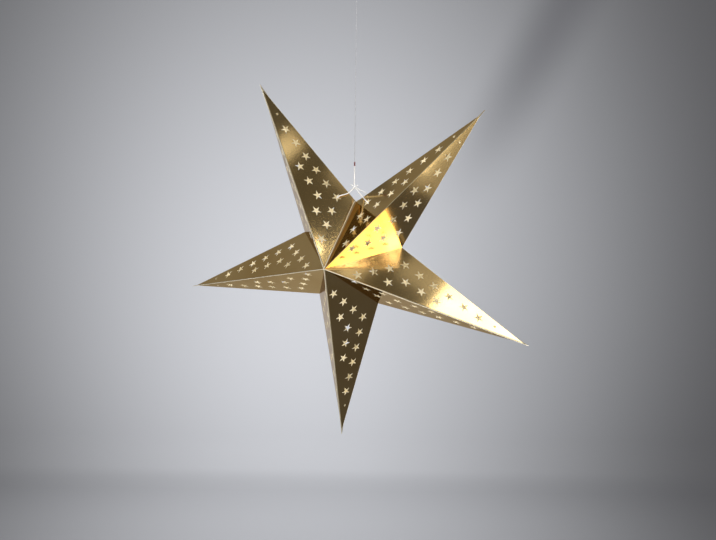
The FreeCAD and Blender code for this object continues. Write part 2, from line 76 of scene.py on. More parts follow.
class Signal:
    """One socket of a node tree, with arithmetic on it."""

    def __init__(self, tree: bpy.types.NodeTree, socket: bpy.types.NodeSocket) -> None:
        """Keep the tree and the socket.

        Args:
            tree: the node tree that the socket is in.
            socket: an output socket.
        """
        self.tree = tree
        self.socket = socket

    def _math(self, operation: str, *others: "Signal | float", clamp: bool = False) -> "Signal":
        """Join this socket with others in a Math node.

        Args:
            operation: name of the Math node's operation.
            others: further inputs, sockets or numbers.
            clamp: keep the result between 0 and 1.

        Returns:
            The node's result.
        """
        node = self.tree.nodes.new("ShaderNodeMath")
        node.operation = operation
        node.use_clamp = clamp
        self.tree.links.new(self.socket, node.inputs[0])
        for index, other in enumerate(others, start=1):
            if isinstance(other, Signal):
                self.tree.links.new(other.socket, node.inputs[index])
            else:
                node.inputs[index].default_value = other
        return Signal(self.tree, node.outputs[0])

    def __add__(self, other: "Signal | float") -> "Signal":
        """Sum."""
        return self._math("ADD", other)

    __radd__ = __add__

    def __sub__(self, other: "Signal | float") -> "Signal":
        """Difference."""
        return self._math("SUBTRACT", other)

    def __rsub__(self, other: float) -> "Signal":
        """A number less this signal."""
        return self * -1.0 + other

    def __mul__(self, other: "Signal | float") -> "Signal":
        """Product."""
        return self._math("MULTIPLY", other)

    __rmul__ = __mul__

    def root(self) -> "Signal":
        """Square root."""
        return self._math("SQRT")

    def absolute(self) -> "Signal":
        """Size without its sign."""
        return self._math("ABSOLUTE")

    def largest(self, other: "Signal | float") -> "Signal":
        """Larger of the two."""
        return self._math("MAXIMUM", other)

    def near(self, value: float, reach: float) -> "Signal":
        """1 where the signal is within reach of a value, else 0.

        Args:
            value: what the signal is compared with.
            reach: how far off it may be.

        Returns:
            The mask.
        """
        return self._math("COMPARE", value, reach)

    def ramp(self, low: float, high: float) -> "Signal":
        """A smooth step from 0 at one value to 1 at another.

        Args:
            low: value that gives 0.
            high: value that gives 1, which may be the smaller one.

        Returns:
            The step.
        """
        node = self.tree.nodes.new("ShaderNodeMapRange")
        node.interpolation_type = "SMOOTHSTEP"
        node.inputs["From Min"].default_value = low
        node.inputs["From Max"].default_value = high
        self.tree.links.new(self.socket, node.inputs["Value"])
        return Signal(self.tree, node.outputs["Result"])

    def blend(self, first: "Signal | Colour", second: "Signal | Colour") -> "Signal":
        """Mix two colours by this signal.

        Args:
            first: colour where the signal is 0.
            second: colour where the signal is 1.

        Returns:
            The mixed colour.
        """
        node = self.tree.nodes.new("ShaderNodeMix")
        node.data_type = "RGBA"
        self.tree.links.new(self.socket, node.inputs["Factor"])
        for key, value in ((6, first), (7, second)):
            if isinstance(value, Signal):
                self.tree.links.new(value.socket, node.inputs[key])
            else:
                node.inputs[key].default_value = (*value, 1.0)
        return Signal(self.tree, node.outputs[2])


class Finish:
    """A material in the making: its shader, its coordinates and its textures."""

    def __init__(self, name: str) -> None:
        """Start a material with one Principled shader.

        Args:
            name: the material's name.
        """
        self.material = bpy.data.materials.new(name)
        self.material.use_nodes = True
        self.tree = self.material.node_tree
        self.shader = self.tree.nodes["Principled BSDF"]
        self.place = self.tree.nodes.new("ShaderNodeTexCoord")

    def set(self, **values: float) -> None:
        """Set the shader's uniform values.

        Args:
            **values: numbers by the names of the shader's sockets, with _ for a space.
        """
        for name, value in values.items():
            self.shader.inputs[name.replace("_", " ")].default_value = value

    def link(self, name: str, signal: Signal) -> None:
        """Drive one of the shader's sockets.

        Args:
            name: the socket's name.
            signal: what drives it.
        """
        self.tree.links.new(signal.socket, self.shader.inputs[name])

    def offset_place(self, centre: Point) -> bpy.types.NodeSocket:
        """Object coordinates measured from a point.

        Args:
            centre: the point.

        Returns:
            A vector socket.
        """
        shift = self.tree.nodes.new("ShaderNodeVectorMath")
        shift.operation = "SUBTRACT"
        self.tree.links.new(self.place.outputs["Object"], shift.inputs[0])
        shift.inputs[1].default_value = centre
        return shift.outputs[0]

    def dot(self, first: bpy.types.NodeSocket,
            second: "bpy.types.NodeSocket | Point") -> Signal:
        """Dot product of two vectors.

        Args:
            first: a vector socket.
            second: another, or three numbers.

        Returns:
            The product.
        """
        node = self.tree.nodes.new("ShaderNodeVectorMath")
        node.operation = "DOT_PRODUCT"
        self.tree.links.new(first, node.inputs[0])
        if isinstance(second, bpy.types.NodeSocket):
            self.tree.links.new(second, node.inputs[1])
        else:
            node.inputs[1].default_value = second
        return Signal(self.tree, node.outputs["Value"])

    def noise(self, scale: float, detail: float = 2.0,
              stretch: Point = (1.0, 1.0, 1.0)) -> Signal:
        """Noise over the object's coordinates.

        Args:
            scale: repeats per metre.
            detail: octaves.
            stretch: factors on the three axes.

        Returns:
            Values about 0.5.
        """
        mapping = self.tree.nodes.new("ShaderNodeMapping")
        mapping.inputs["Scale"].default_value = stretch
        texture = self.tree.nodes.new("ShaderNodeTexNoise")
        texture.inputs["Scale"].default_value = scale
        texture.inputs["Detail"].default_value = detail
        self.tree.links.new(self.place.outputs["Object"], mapping.inputs["Vector"])
        self.tree.links.new(mapping.outputs[0], texture.inputs["Vector"])
        return Signal(self.tree, texture.outputs["Fac"])

    def bump(self, *layers: tuple[Signal, float]) -> None:
        """Stack height fields under the shader's normal.

        Args:
            layers: pairs of a height signal and its depth in metres.
        """
        below = None
        for height, depth in layers:
            node = self.tree.nodes.new("ShaderNodeBump")
            node.inputs["Distance"].default_value = depth
            self.tree.links.new(height.socket, node.inputs["Height"])
            if below:
                self.tree.links.new(below, node.inputs["Normal"])
            below = node.outputs["Normal"]
        self.tree.links.new(below, self.shader.inputs["Normal"])


# Finishes


@dataclass(frozen=True)
class FoilCard:
    """Card with gold foil on its outer side and bare cream board inside and where it is cut."""

    foil: Colour = (0.79, 0.56, 0.245)
    foil_deep: Colour = (0.70, 0.47, 0.18)
    board: Colour = (0.86, 0.80, 0.64)
    board_dull: Colour = (0.78, 0.70, 0.52)
    # Painted shade for the cut board along one arm's ridge
    ridge_shade: Colour = (0.20, 0.15, 0.07)
    worn: Colour = (0.40, 0.34, 0.22)
    edge_tint: Colour = (0.66, 0.60, 0.53)
    # Roughness of foil and of board, and how far cloud and grain shift the foil's
    satin: float = 0.10
    matt: float = 0.85
    cloud_gloss: float = 0.06
    grain_gloss: float = 0.08
    # What the margins outside the seam gain in roughness and lose in metal
    creased: float = 0.3
    dulled: float = 0.7
    # How close a surface has to come to count as a face, a margin or a ridge
    face_reach: float = 0.0022
    tilt_reach: float = 0.014
    margin_reach: float = 0.4 * CARD
    upright_reach: float = 0.02
    ridge_reach: float = 1.5 * CARD
    ridge_start: float = 0.001
    # Depths of the bumps in metres
    wave_depth: float = 0.0008
    mottle_depth: float = 0.000024
    grain_depth: float = 0.000006
    name: str = "foil_card"

    def build(self) -> bpy.types.Material:
        """Make the material.

        Returns:
            The material, with the foil where a surface looks out of the star.
        """
        finish = Finish(self.name)
        facing = finish.place.outputs["Normal"]
        outward = finish.dot(facing, finish.offset_place(STAR_CENTRE))
        axial = finish.dot(facing, (0.0, 1.0, 0.0)).absolute()
        face = (outward.near(FACE_DISTANCE, self.face_reach)
                * axial.near(FACE_AXIAL, self.tilt_reach))
        fin = outward.near(CARD, self.margin_reach) * axial.near(0.0, self.upright_reach)
        foiled = face.largest(fin)

        cloud = finish.noise(scale=9.0, detail=3.0)
        grain = finish.noise(scale=900.0, detail=3.0)
        fibre = finish.noise(scale=420.0, detail=4.0, stretch=(1.0, 1.0, 3.0))
        gold = cloud.ramp(low=0.3, high=0.7).blend(self.foil, self.foil_deep)
        gold = fin.blend(gold, self.worn)
        cream = fibre.ramp(low=0.35, high=0.65).blend(self.board, self.board_dull)
        # Painted shade: the cut board along one arm's ridge goes dark where that edge lies in
        # shade
        cream = self._ridge(finish, SHADED_RIDGE_ARM).blend(cream, self.ridge_shade)
        finish.link("Base Color", foiled.blend(cream, gold))
        finish.link("Metallic", foiled - fin * self.dulled)
        middle = (self.cloud_gloss + self.grain_gloss) / 2
        satin = cloud * self.cloud_gloss + grain * self.grain_gloss + (self.satin - middle)
        satin = satin + fin * self.creased
        finish.link("Roughness", satin * foiled + (1.0 - foiled) * self.matt)
        finish.shader.inputs["Specular Tint"].default_value = (*self.edge_tint, 1.0)
        wave = finish.noise(scale=6.5, detail=1.0)
        mottle = finish.noise(scale=300.0, detail=3.0)
        finish.bump((wave, self.wave_depth), (mottle, self.mottle_depth),
                    (grain, self.grain_depth))
        return finish.material

    def _ridge(self, finish: Finish, degrees: float) -> Signal:
        """1 on the glued margins along one arm's ridge, where painted shade goes, else 0.

        Args:
            finish: the material in the making.
            degrees: the arm's angle.

        Returns:
            The mask.
        """
        turn = math.radians(degrees)
        offset = finish.offset_place(STAR_CENTRE)
        beside = finish.dot(offset, (-math.sin(turn), 0.0, math.cos(turn)))
        ahead = finish.dot(offset, (math.cos(turn), 0.0, math.sin(turn)))
        return beside.near(0.0, self.ridge_reach) * ahead.ramp(0.0, self.ridge_start)


@dataclass(frozen=True)
class TwistedYarn:
    """White yarn with a soft uneven surface."""

    yarn: Colour = (0.94, 0.94, 0.93)
    shade: Colour = (0.84, 0.84, 0.83)
    matt: float = 0.85
    sheen: float = 0.2
    fuzz_depth: float = 0.00002
    name: str = "white_string"

    def build(self) -> bpy.types.Material:
        """Make the material.

        Returns:
            The material.
        """
        finish = Finish(self.name)
        fibre = finish.noise(scale=5200.0, detail=3.0, stretch=(1.0, 1.0, 0.35))
        tone = fibre.ramp(low=0.3, high=0.62).blend(self.shade, self.yarn)
        finish.link("Base Color", tone)
        finish.set(Roughness=self.matt, Sheen_Weight=self.sheen)
        finish.bump((fibre, self.fuzz_depth))
        return finish.material


@dataclass(frozen=True)
class ClearLine:
    """Thin clear line, slightly clouded, that reads grey."""

    tint: Colour = (0.42, 0.42, 0.43)
    clouded: Colour = (0.55, 0.55, 0.56)
    gloss: float = 0.15
    haze: float = 0.15
    clear: float = 0.35
    bending: float = 1.5
    name: str = "clear_line"

    def build(self) -> bpy.types.Material:
        """Make the material.

        Returns:
            The material.
        """
        finish = Finish(self.name)
        haze = finish.noise(scale=700.0, detail=2.0, stretch=(1.0, 1.0, 0.2))
        tone = haze.ramp(low=0.35, high=0.65).blend(self.tint, self.clouded)
        finish.link("Base Color", tone)
        finish.link("Roughness", haze * self.haze + self.gloss)
        finish.set(Transmission_Weight=self.clear, IOR=self.bending)
        return finish.material


@dataclass(frozen=True)
class PaintedCrimp:
    """Dark red lacquer on a small metal tube, worn to metal in places."""

    lacquer: Colour = (0.16, 0.035, 0.04)
    worn: Colour = (0.45, 0.40, 0.38)
    satin: float = 0.35
    scuffed: float = 0.1
    wear_depth: float = -0.00002
    name: str = "dark_crimp"

    def build(self) -> bpy.types.Material:
        """Make the material.

        Returns:
            The material.
        """
        finish = Finish(self.name)
        wear = finish.noise(scale=1500.0, detail=4.0).ramp(low=0.62, high=0.72)
        finish.link("Base Color", wear.blend(self.lacquer, self.worn))
        finish.link("Metallic", wear)
        finish.link("Roughness", wear * self.scuffed + self.satin)
        finish.bump((wear, self.wear_depth))
        return finish.material


@dataclass(frozen=True)
class BackdropPaper:
    """Pale grey paper sweep with painted light: lit in its middle, with painted shade away from
    there.
    """

    # Painted light and shade: tone of the lit patch, tone far from it, and the unlit tone of
    # painted shade
    pale: Colour = (0.55, 0.56, 0.592)
    dim: Colour = (0.095, 0.095, 0.10)
    unlit: Colour = (0.08, 0.08, 0.09)
    reach: float = 2.35
    narrowing: float = 0.56
    lit_right: float = 1.95
    lit_front: float = 1.05
    lit_fade: float = 0.3
    glow: float = 0.80
    matt: float = 0.9
    # Painted shade on the floor: its far edge's height and softness, how dark it is, where it
    # clears
    floor_line: float = -0.635
    floor_fade: float = 0.04
    floor_shade: float = 0.14
    floor_clears: tuple[float, float] = (-0.05, -0.45)
    # The painted shadow of a crease: its level normal, its place along that, its half width,
    # depth of shade and rise
    crease_side: float = 0.9
    crease_fall: float = 0.437
    crease_place: float = 0.318
    crease_reach: float = 0.17
    crease_shade: float = 0.5
    crease_rise: tuple[float, float] = (0.35, 1.1)
    name: str = "backdrop_paper"

    def build(self, middle: Point, across: Point, along: Point) -> bpy.types.Material:
        """Make the material.

        Args:
            middle: centre of the light patch on the paper.
            across: level direction to the camera's right.
            along: level direction away from the camera.

        Returns:
            The material, which shows its tone to the camera, to gloss and to glass.
        """
        finish = Finish(self.name)
        offset = finish.offset_place(middle)
        sideways = finish.dot(offset, across)
        square = finish.dot(offset, offset) + sideways * sideways * self.narrowing
        # Painted light: pale about the middle of the patch, dim away from it
        tone = square.root().ramp(0.0, self.reach).blend(self.pale, self.dim)
        # Painted shade on the floor and along the crease
        tone = self._shades(finish, offset, sideways, along).blend(tone, self.unlit)
        # Painted shade to the right of and in front of the lit part
        right = sideways.ramp(self.lit_right, self.lit_right + self.lit_fade)
        nearness = finish.dot(offset, along)
        front = nearness.ramp(-self.lit_front, -self.lit_front - self.lit_fade)
        tone = right.largest(front).blend(tone, self.unlit)
        rays = finish.tree.nodes.new("ShaderNodeLightPath")
        seen = Signal(finish.tree, rays.outputs["Is Camera Ray"])
        for kind in ("Is Glossy Ray", "Is Transmission Ray"):
            seen = seen.largest(Signal(finish.tree, rays.outputs[kind]))
        finish.link("Base Color", tone)
        # The paper glows with its tone, painted light and shade included, to the camera, gloss
        # and glass
        finish.link("Emission Color", seen.blend((0.0, 0.0, 0.0), tone))
        finish.set(Roughness=self.matt, Emission_Strength=self.glow)
        return finish.material

    def _shades(self, finish: Finish, offset: bpy.types.NodeSocket,
                sideways: Signal, along: Point) -> Signal:
        """Painted shade on the floor and the painted shadow of a soft slanting crease high on
        the right.

        Args:
            finish: the material in the making.
            offset: place on the paper from the middle of the light patch.
            sideways: the same, to the camera's right.
            along: level direction away from the camera.

        Returns:
            How far the paper's tone goes over to the unlit one.
        """
        height = finish.dot(offset, (0.0, 0.0, 1.0))
        # Painted shade on the floor, which clears nearer the camera
        floor = height.ramp(self.floor_line, self.floor_line - self.floor_fade)
        nearer = finish.dot(offset, along).ramp(*self.floor_clears)
        # Painted shadow of a soft crease, slanting, high on the right
        slant = sideways * self.crease_side - height * self.crease_fall - self.crease_place
        crease = slant.absolute().ramp(self.crease_reach, 0.0) * height.ramp(*self.crease_rise)
        painted_floor_shade = floor * (1.0 - nearer) * self.floor_shade
        return painted_floor_shade.largest(crease * self.crease_shade)


# Small helpers for objects


def deselect() -> None:
    """Leave edit mode and select nothing."""
    if bpy.context.mode != "OBJECT":
        bpy.ops.object.mode_set(mode="OBJECT")
    bpy.ops.object.select_all(action="DESELECT")


def settle(piece: bpy.types.Object, finish: bpy.types.Material) -> bpy.types.Object:
    """Put a piece's place in its mesh, dress it and let it ride on the part.

    Args:
        piece: a finished mesh or curve object.
        finish: its material.

    Returns:
        The piece.
    """
    deselect()
    piece.select_set(True)
    bpy.context.view_layer.objects.active = piece
    bpy.ops.object.transform_apply(location=True, rotation=True, scale=True)
    piece.data.materials.clear()
    piece.data.materials.append(finish)
    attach(piece, "root")
    return piece


def round_thread(name: str, points: list[Vector | Point], radius: float,
                 kind: str = "POLY", rounding: int = 2) -> bpy.types.Object:
    """A round thread along one open line.

    Args:
        name: the object's name.
        points: the line.
        radius: half the thread's thickness.
        kind: the spline's type, by default straight from point to point.
        rounding: the bevel's resolution.

    Returns:
        The curve object.
    """
    data = bpy.data.curves.new(name, "CURVE")
    data.dimensions = "3D"
    spline = data.splines.new(kind)
    spline.points.add(len(points) - 1)
    for point, place in zip(spline.points, points):
        point.co = (*place, 1.0)
    data.bevel_depth = radius
    data.bevel_resolution = rounding
    data.use_fill_caps = True
    thread = bpy.data.objects.new(name, data)
    bpy.context.scene.collection.objects.link(thread)
    return thread


def smooth_line(name: str, route: list[Point], radius: float = 0.0) -> bpy.types.Object:
    """A smooth curve with the route's points as its control points.

    Args:
        name: the object's name.
        route: control points in metres.
        radius: half the line's thickness, or 0 for a bare line.

    Returns:
        The curve object, linked to the scene.
    """
    piece = round_thread(name, route, radius, kind="NURBS", rounding=4)
    spline = piece.data.splines[0]
    spline.order_u = 3
    spline.use_endpoint_u = True
    spline.resolution_u = 12
    piece.data.resolution_u = 12
    return piece


def centreline(route: list[Point]) -> list[Vector]:
    """Points along the smooth line of a route.

    Args:
        route: control points in metres.

    Returns:
        The points, in order.
    """
    bare = smooth_line("bare_line", route)
    mesh = bpy.data.meshes.new_from_object(bare)
    points = [vertex.co.copy() for vertex in mesh.vertices]
    bpy.data.objects.remove(bare)
    bpy.data.meshes.remove(mesh)
    return points


def resample(points: list[Vector], step: float) -> list[Vector]:
    """Even steps along a line of points.

    Args:
        points: the line.
        step: about how far apart the new points are.

    Returns:
        The new points, the two ends among them.
    """
    lengths = [0.0]
    for start, end in zip(points, points[1:]):
        lengths.append(lengths[-1] + (end - start).length)
    count = max(2, round(lengths[-1] / step))
    even = []
    index = 0
    for number in range(count + 1):
        goal = lengths[-1] * number / count
        while index < len(points) - 2 and lengths[index + 1] < goal:
            index += 1
        span = lengths[index + 1] - lengths[index]
        share = (goal - lengths[index]) / span if span else 0.0
        even.append(points[index].lerp(points[index + 1], min(1.0, share)))
    return even


# Sub-assemblies


@dataclass
class Leaves:
    """The ten folded cards, as they come from the part."""

    finish: FoilCard = field(default_factory=FoilCard)

    def dress(self, nodes: dict[str, bpy.types.Object]) -> list[bpy.types.Object]:
        """Give each leaf the foil card.

        Args:
            nodes: the part's own objects.

        Returns:
            The leaves.
        """
        material = self.finish.build()
        leaves = [nodes[name] for name in sorted(nodes) if name.endswith("_leaf")]
        for leaf in leaves:
            leaf.data.materials.clear()
            leaf.data.materials.append(material)
        return leaves


@dataclass(frozen=True)
class YarnTwist:
    """How a string is twisted from its yarns."""

    diameter: float = 0.002
    ply: Ply = Ply.THREE
    lay_length: float = 0.0065
    step: float = 0.00045

    def wind(self, name: str, path: list[Vector]) -> bpy.types.Object:
        """Wind the yarns round a line and join them.

        Args:
            name: the mesh object's name.
            path: close points along the string's line.

        Returns:
            One mesh object.
        """
        count = self.ply.value
        yarn_radius = self.diameter / YARN_RADII[self.ply]
        orbit = self.diameter / 2 - yarn_radius
        frames = self._frames(path)
        yarns = []
        for strand in range(count):
            points = []
            for travelled, point, side, across in frames:
                turn = 2 * math.pi * (travelled / self.lay_length + strand / count)
                points.append(point + (side * math.cos(turn) + across * math.sin(turn)) * orbit)
            yarns.append(round_thread("yarn", points, yarn_radius))
        piece = join_as_mesh(name, yarns)
        bpy.ops.object.shade_smooth_by_angle(angle=ROUND_CREASE)
        return piece

    @staticmethod
    def _frames(path: list[Vector]) -> list[tuple[float, Vector, Vector, Vector]]:
        """Follow a line without turning about it.

        Args:
            path: points along the line.

        Returns:
            For each point the distance travelled, the place and two cross directions.
        """
        side = Vector((1.0, 0.0, 0.0))
        nearly_along = 0.9
        if abs((path[1] - path[0]).normalized().x) > nearly_along:
            side = Vector((0.0, 1.0, 0.0))
        travelled = 0.0
        frames = []
        for index, point in enumerate(path):
            before, after = path[max(index - 1, 0)], path[min(index + 1, len(path) - 1)]
            ahead = (after - before).normalized()
            side = (side - ahead * side.dot(ahead)).normalized()
            if index:
                travelled += (point - path[index - 1]).length
            frames.append((travelled, point, side.copy(), ahead.cross(side)))
        return frames


def join_as_mesh(name: str, pieces: list[bpy.types.Object]) -> bpy.types.Object:
    """Turn curves and meshes into one mesh object.

    Args:
        name: the new object's name.
        pieces: what is joined, at least one.

    Returns:
        The joined object.
    """
    deselect()
    for piece in pieces:
        piece.select_set(True)
    bpy.context.view_layer.objects.active = pieces[0]
    bpy.ops.object.convert(target="MESH")
    if len(pieces) > 1:
        bpy.ops.object.join()
    joined = bpy.context.view_layer.objects.active
    joined.name = name
    return joined


@dataclass(frozen=True)
class Lacing:
    """The two strings that lace the open seam, each from the knot through two holes."""

    left_route: tuple[Point, ...] = (
        (0.00000, 0.00000, -0.31500),
        (-0.00173, -0.01425, -0.32363),
        (-0.01072, -0.02687, -0.32619),
        (-0.01611, -0.03322, -0.32809),
        (-0.01964, -0.03016, -0.33145),
        (-0.01976, 0.00613, -0.33129),
        (-0.01623, 0.00918, -0.32793),
        (-0.00987, 0.00610, -0.32281),
        (0.00000, 0.00000, -0.31500),
    )
    right_route: tuple[Point, ...] = (
        (0.00000, 0.00000, -0.31500),
        (0.02682, -0.02665, -0.32876),
        (0.03410, -0.03324, -0.33276),
        (0.03696, -0.03019, -0.33671),
        (0.03681, 0.00628, -0.33689),
        (0.03396, 0.00933, -0.33294),
        (0.02474, 0.00715, -0.32784),
        (0.00000, 0.00000, -0.31500),
    )
    twist: YarnTwist = YarnTwist()

    def build(self, yarn: bpy.types.Material) -> list[bpy.types.Object]:
        """Wind both strings.

        Args:
            yarn: the string's material.

        Returns:
            The two pieces.
        """
        strings = []
        for hand, route in (("left", self.left_route), ("right", self.right_route)):
            path = resample(centreline(list(route)), self.twist.step)
            piece = self.twist.wind(f"{hand}_lacing_yarns", path)
            settle(piece, yarn)
            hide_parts(f"{hand}_tie_string")
            strings.append(piece)
        return strings


@dataclass(frozen=True)
class TieKnot:
    """The knot over the seam: a turn and a half of string drawn tight, with two cut ends."""

    centre: Point = (0.0, 0.0, -0.315)
    width: float = 0.00058
    depth: float = 0.00085
    tail_length: float = 0.0073
    tail_droop: float = 0.0007
    # Each cut end's lean from upright and swing about the line, in degrees
    tails: tuple[tuple[float, float], ...] = ((-50.0, 20.0), (62.0, -15.0))
    fibre_length: float = 0.0014
    fibre_radius: float = 0.00007
    fibres: int = 7
    # How far a loose fibre starts inside the cut end, and how far it lies off its axis
    fibre_root: float = 0.0004
    fibre_offset: float = 0.00045
    fibre_bulge: float = 0.0001
    fibre_splay: float = 0.00055
    twist: YarnTwist = YarnTwist(lay_length=0.0055, step=0.0003)

    def _turns(self) -> list[Vector]:
        """Follow the knot's turns, over and under each other.

        Returns:
            Points along the string.
        """
        steps = 90
        line = []
        for step in range(steps + 1):
            turn = 2 * math.pi * step / steps
            across = math.sin(turn) + 2 * math.sin(2 * turn)
            along = math.cos(turn) - 2 * math.cos(2 * turn)
            depth = -math.sin(3 * turn) * self.depth
            offset = Vector((across * self.width, depth, along * self.width))
            line.append(Vector(self.centre) + offset)
        return line

    def _tail(self, lean: float, swing: float) -> list[Vector]:
        """Follow one cut end, which droops a little.

        Args:
            lean: degrees from upright.
            swing: degrees about the line.

        Returns:
            Points along the string.
        """
        leaning = Matrix.Rotation(math.radians(lean), 3, "Y")
        swinging = Matrix.Rotation(math.radians(swing), 3, "Z")
        heading = swinging @ leaning @ Vector((0.0, 0.0, 1.0))
        steps = 16
        line = []
        for step in range(steps + 1):
            share = step / steps
            droop = Vector((0.0, 0.0, -self.tail_droop * share * share))
            line.append(Vector(self.centre) + heading * (self.tail_length * share) + droop)
        return line

    def _fringe(self, line: list[Vector]) -> list[bpy.types.Object]:
        """Fray a cut end.

        Args:
            line: points along the cut end.

        Returns:
            Its loose fibres.
        """
        heading = (line[-1] - line[-2]).normalized()
        side = heading.orthogonal().normalized()
        across = heading.cross(side)
        threads = []
        for number in range(self.fibres):
            turn = 2 * math.pi * number / self.fibres
            spread = side * math.cos(turn) + across * math.sin(turn)
            root = line[-1] - heading * self.fibre_root + spread * self.fibre_offset
            reach = self.fibre_length * (0.7 + 0.3 * math.cos(2.4 * number))
            middle = root + heading * reach * 0.5 + spread * self.fibre_bulge
            end = root + heading * reach * 0.8 + spread * self.fibre_splay
            threads.append(round_thread("fibre", [root, middle, end], self.fibre_radius))
        return threads

    def build(self, yarn: bpy.types.Material) -> bpy.types.Object:
        """Tie the knot.

        Args:
            yarn: the string's material.

        Returns:
            One mesh piece.
        """
        parts = [self.twist.wind("knot_turns", resample(self._turns(), self.twist.step))]
        for lean, swing in self.tails:
            line = self._tail(lean, swing)
            parts.append(self.twist.wind("cut_end", resample(line, self.twist.step)))
            parts.extend(self._fringe(line))
        piece = join_as_mesh("lacing_knot", parts)
        bpy.ops.object.shade_smooth_by_angle(angle=ROUND_CREASE)
        settle(piece, yarn)
        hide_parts("tie_knot")
        return piece


@dataclass(frozen=True)
class Crimp:
    """A small tube pressed flat in two places on the string below and the line above."""

    foot: float = -0.2805
    length: float = 0.0065
    radius: float = 0.0012
    wall: float = 0.00022
    bore_depth: float = 0.0004
    pressed: tuple[float, ...] = (0.33, 0.67)
    press_width: float = 0.0011
    squeeze: float = 0.74
    sides: int = 32
    rim: float = 0.00006
    ring_reach: float = 0.00005

    def build(self, lacquer: bpy.types.Material) -> bpy.types.Object:
        """Shape the tube from a cylinder.

        Args:
            lacquer: the tube's material.

        Returns:
            The tube.
        """
        deselect()
        bpy.ops.mesh.primitive_cylinder_add(
            vertices=self.sides, radius=self.radius, depth=self.length,
            location=(0.0, 0.0, self.foot + self.length / 2))
        tube = bpy.context.object
        tube.name = "pressed_tube"
        bpy.ops.object.transform_apply(location=True, rotation=True, scale=True)
        bpy.ops.object.mode_set(mode="EDIT")
        for share in self.pressed:
            for offset in (-1.0, -0.5, 0.0, 0.5, 1.0):
                height = self.foot + self.length * share + offset * self.press_width / 2
                bpy.ops.mesh.select_all(action="SELECT")
                bpy.ops.mesh.bisect(plane_co=(0.0, 0.0, height), plane_no=(0.0, 0.0, 1.0))
        bpy.ops.mesh.select_mode(type="FACE")
        for upward in (1.0, -1.0):
            self._bore(tube, upward)
        bpy.ops.mesh.select_mode(type="VERT")
        for share in self.pressed:
            for offset, strength in ((-0.5, 0.6), (0.0, 1.0), (0.5, 0.6)):
                height = self.foot + self.length * share + offset * self.press_width / 2
                self._squeeze(tube, height, 1.0 - (1.0 - self.squeeze) * strength)
        bpy.ops.object.mode_set(mode="OBJECT")
        rim = tube.modifiers.new("rim", "BEVEL")
        rim.width = self.rim
        rim.segments = 2
        rim.limit_method = "ANGLE"
        rim.angle_limit = math.radians(50)
        bpy.ops.object.modifier_apply(modifier=rim.name)
        bpy.ops.object.shade_smooth_by_angle(angle=math.radians(40))
        settle(tube, lacquer)
        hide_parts("crimp")
        return tube

    def _bore(self, tube: bpy.types.Object, upward: float) -> None:
        """Sink one end of the tube inside its rim.

        Args:
            tube: the tube, in edit mode.
            upward: 1 for its upper end, -1 for its lower one.
        """
        bpy.ops.object.mode_set(mode="OBJECT")
        for face in tube.data.polygons:
            face.select = face.normal.z * upward > 0.9
        bpy.ops.object.mode_set(mode="EDIT")
        bpy.ops.mesh.inset(thickness=self.wall)
        bpy.ops.mesh.extrude_region_move(
            TRANSFORM_OT_translate={"value": (0.0, 0.0, -upward * self.bore_depth)})

    def _squeeze(self, tube: bpy.types.Object, height: float, factor: float) -> None:
        """Press one ring of the tube's vertices flatter in depth.

        Args:
            tube: the tube, in edit mode.
            height: the ring's height.
            factor: what is left of its depth.
        """
        bpy.ops.object.mode_set(mode="OBJECT")
        for vertex in tube.data.vertices:
            vertex.select = abs(vertex.co.z - height) < self.ring_reach
        bpy.ops.object.mode_set(mode="EDIT")
        bpy.ops.transform.resize(value=(1.0, factor, 1.0), center_override=(0.0, 0.0, height))


@dataclass(frozen=True)
class Riser:
    """The string from the knot up into the crimp."""

    route: tuple[Point, ...] = (
        (0.0, 0.0, -0.3122),
        (0.0, 0.0, -0.3030),
        (0.0, 0.0, -0.2890),
        (0.0, 0.0, -0.2805),
    )
    length: float = 0.0317
    twist: YarnTwist = YarnTwist()

    def build(self, yarn: bpy.types.Material, crimp: bpy.types.Object) -> bpy.types.Object:
        """Args:
            yarn: the string's material.
            crimp: the tube at its upper end, not used.

        Returns:
            The string.
        """
        path = resample(centreline(list(self.route)), self.twist.step)
        piece = self.twist.wind("riser_yarns", path)
        settle(piece, yarn)
        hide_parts("riser_string")
        return piece


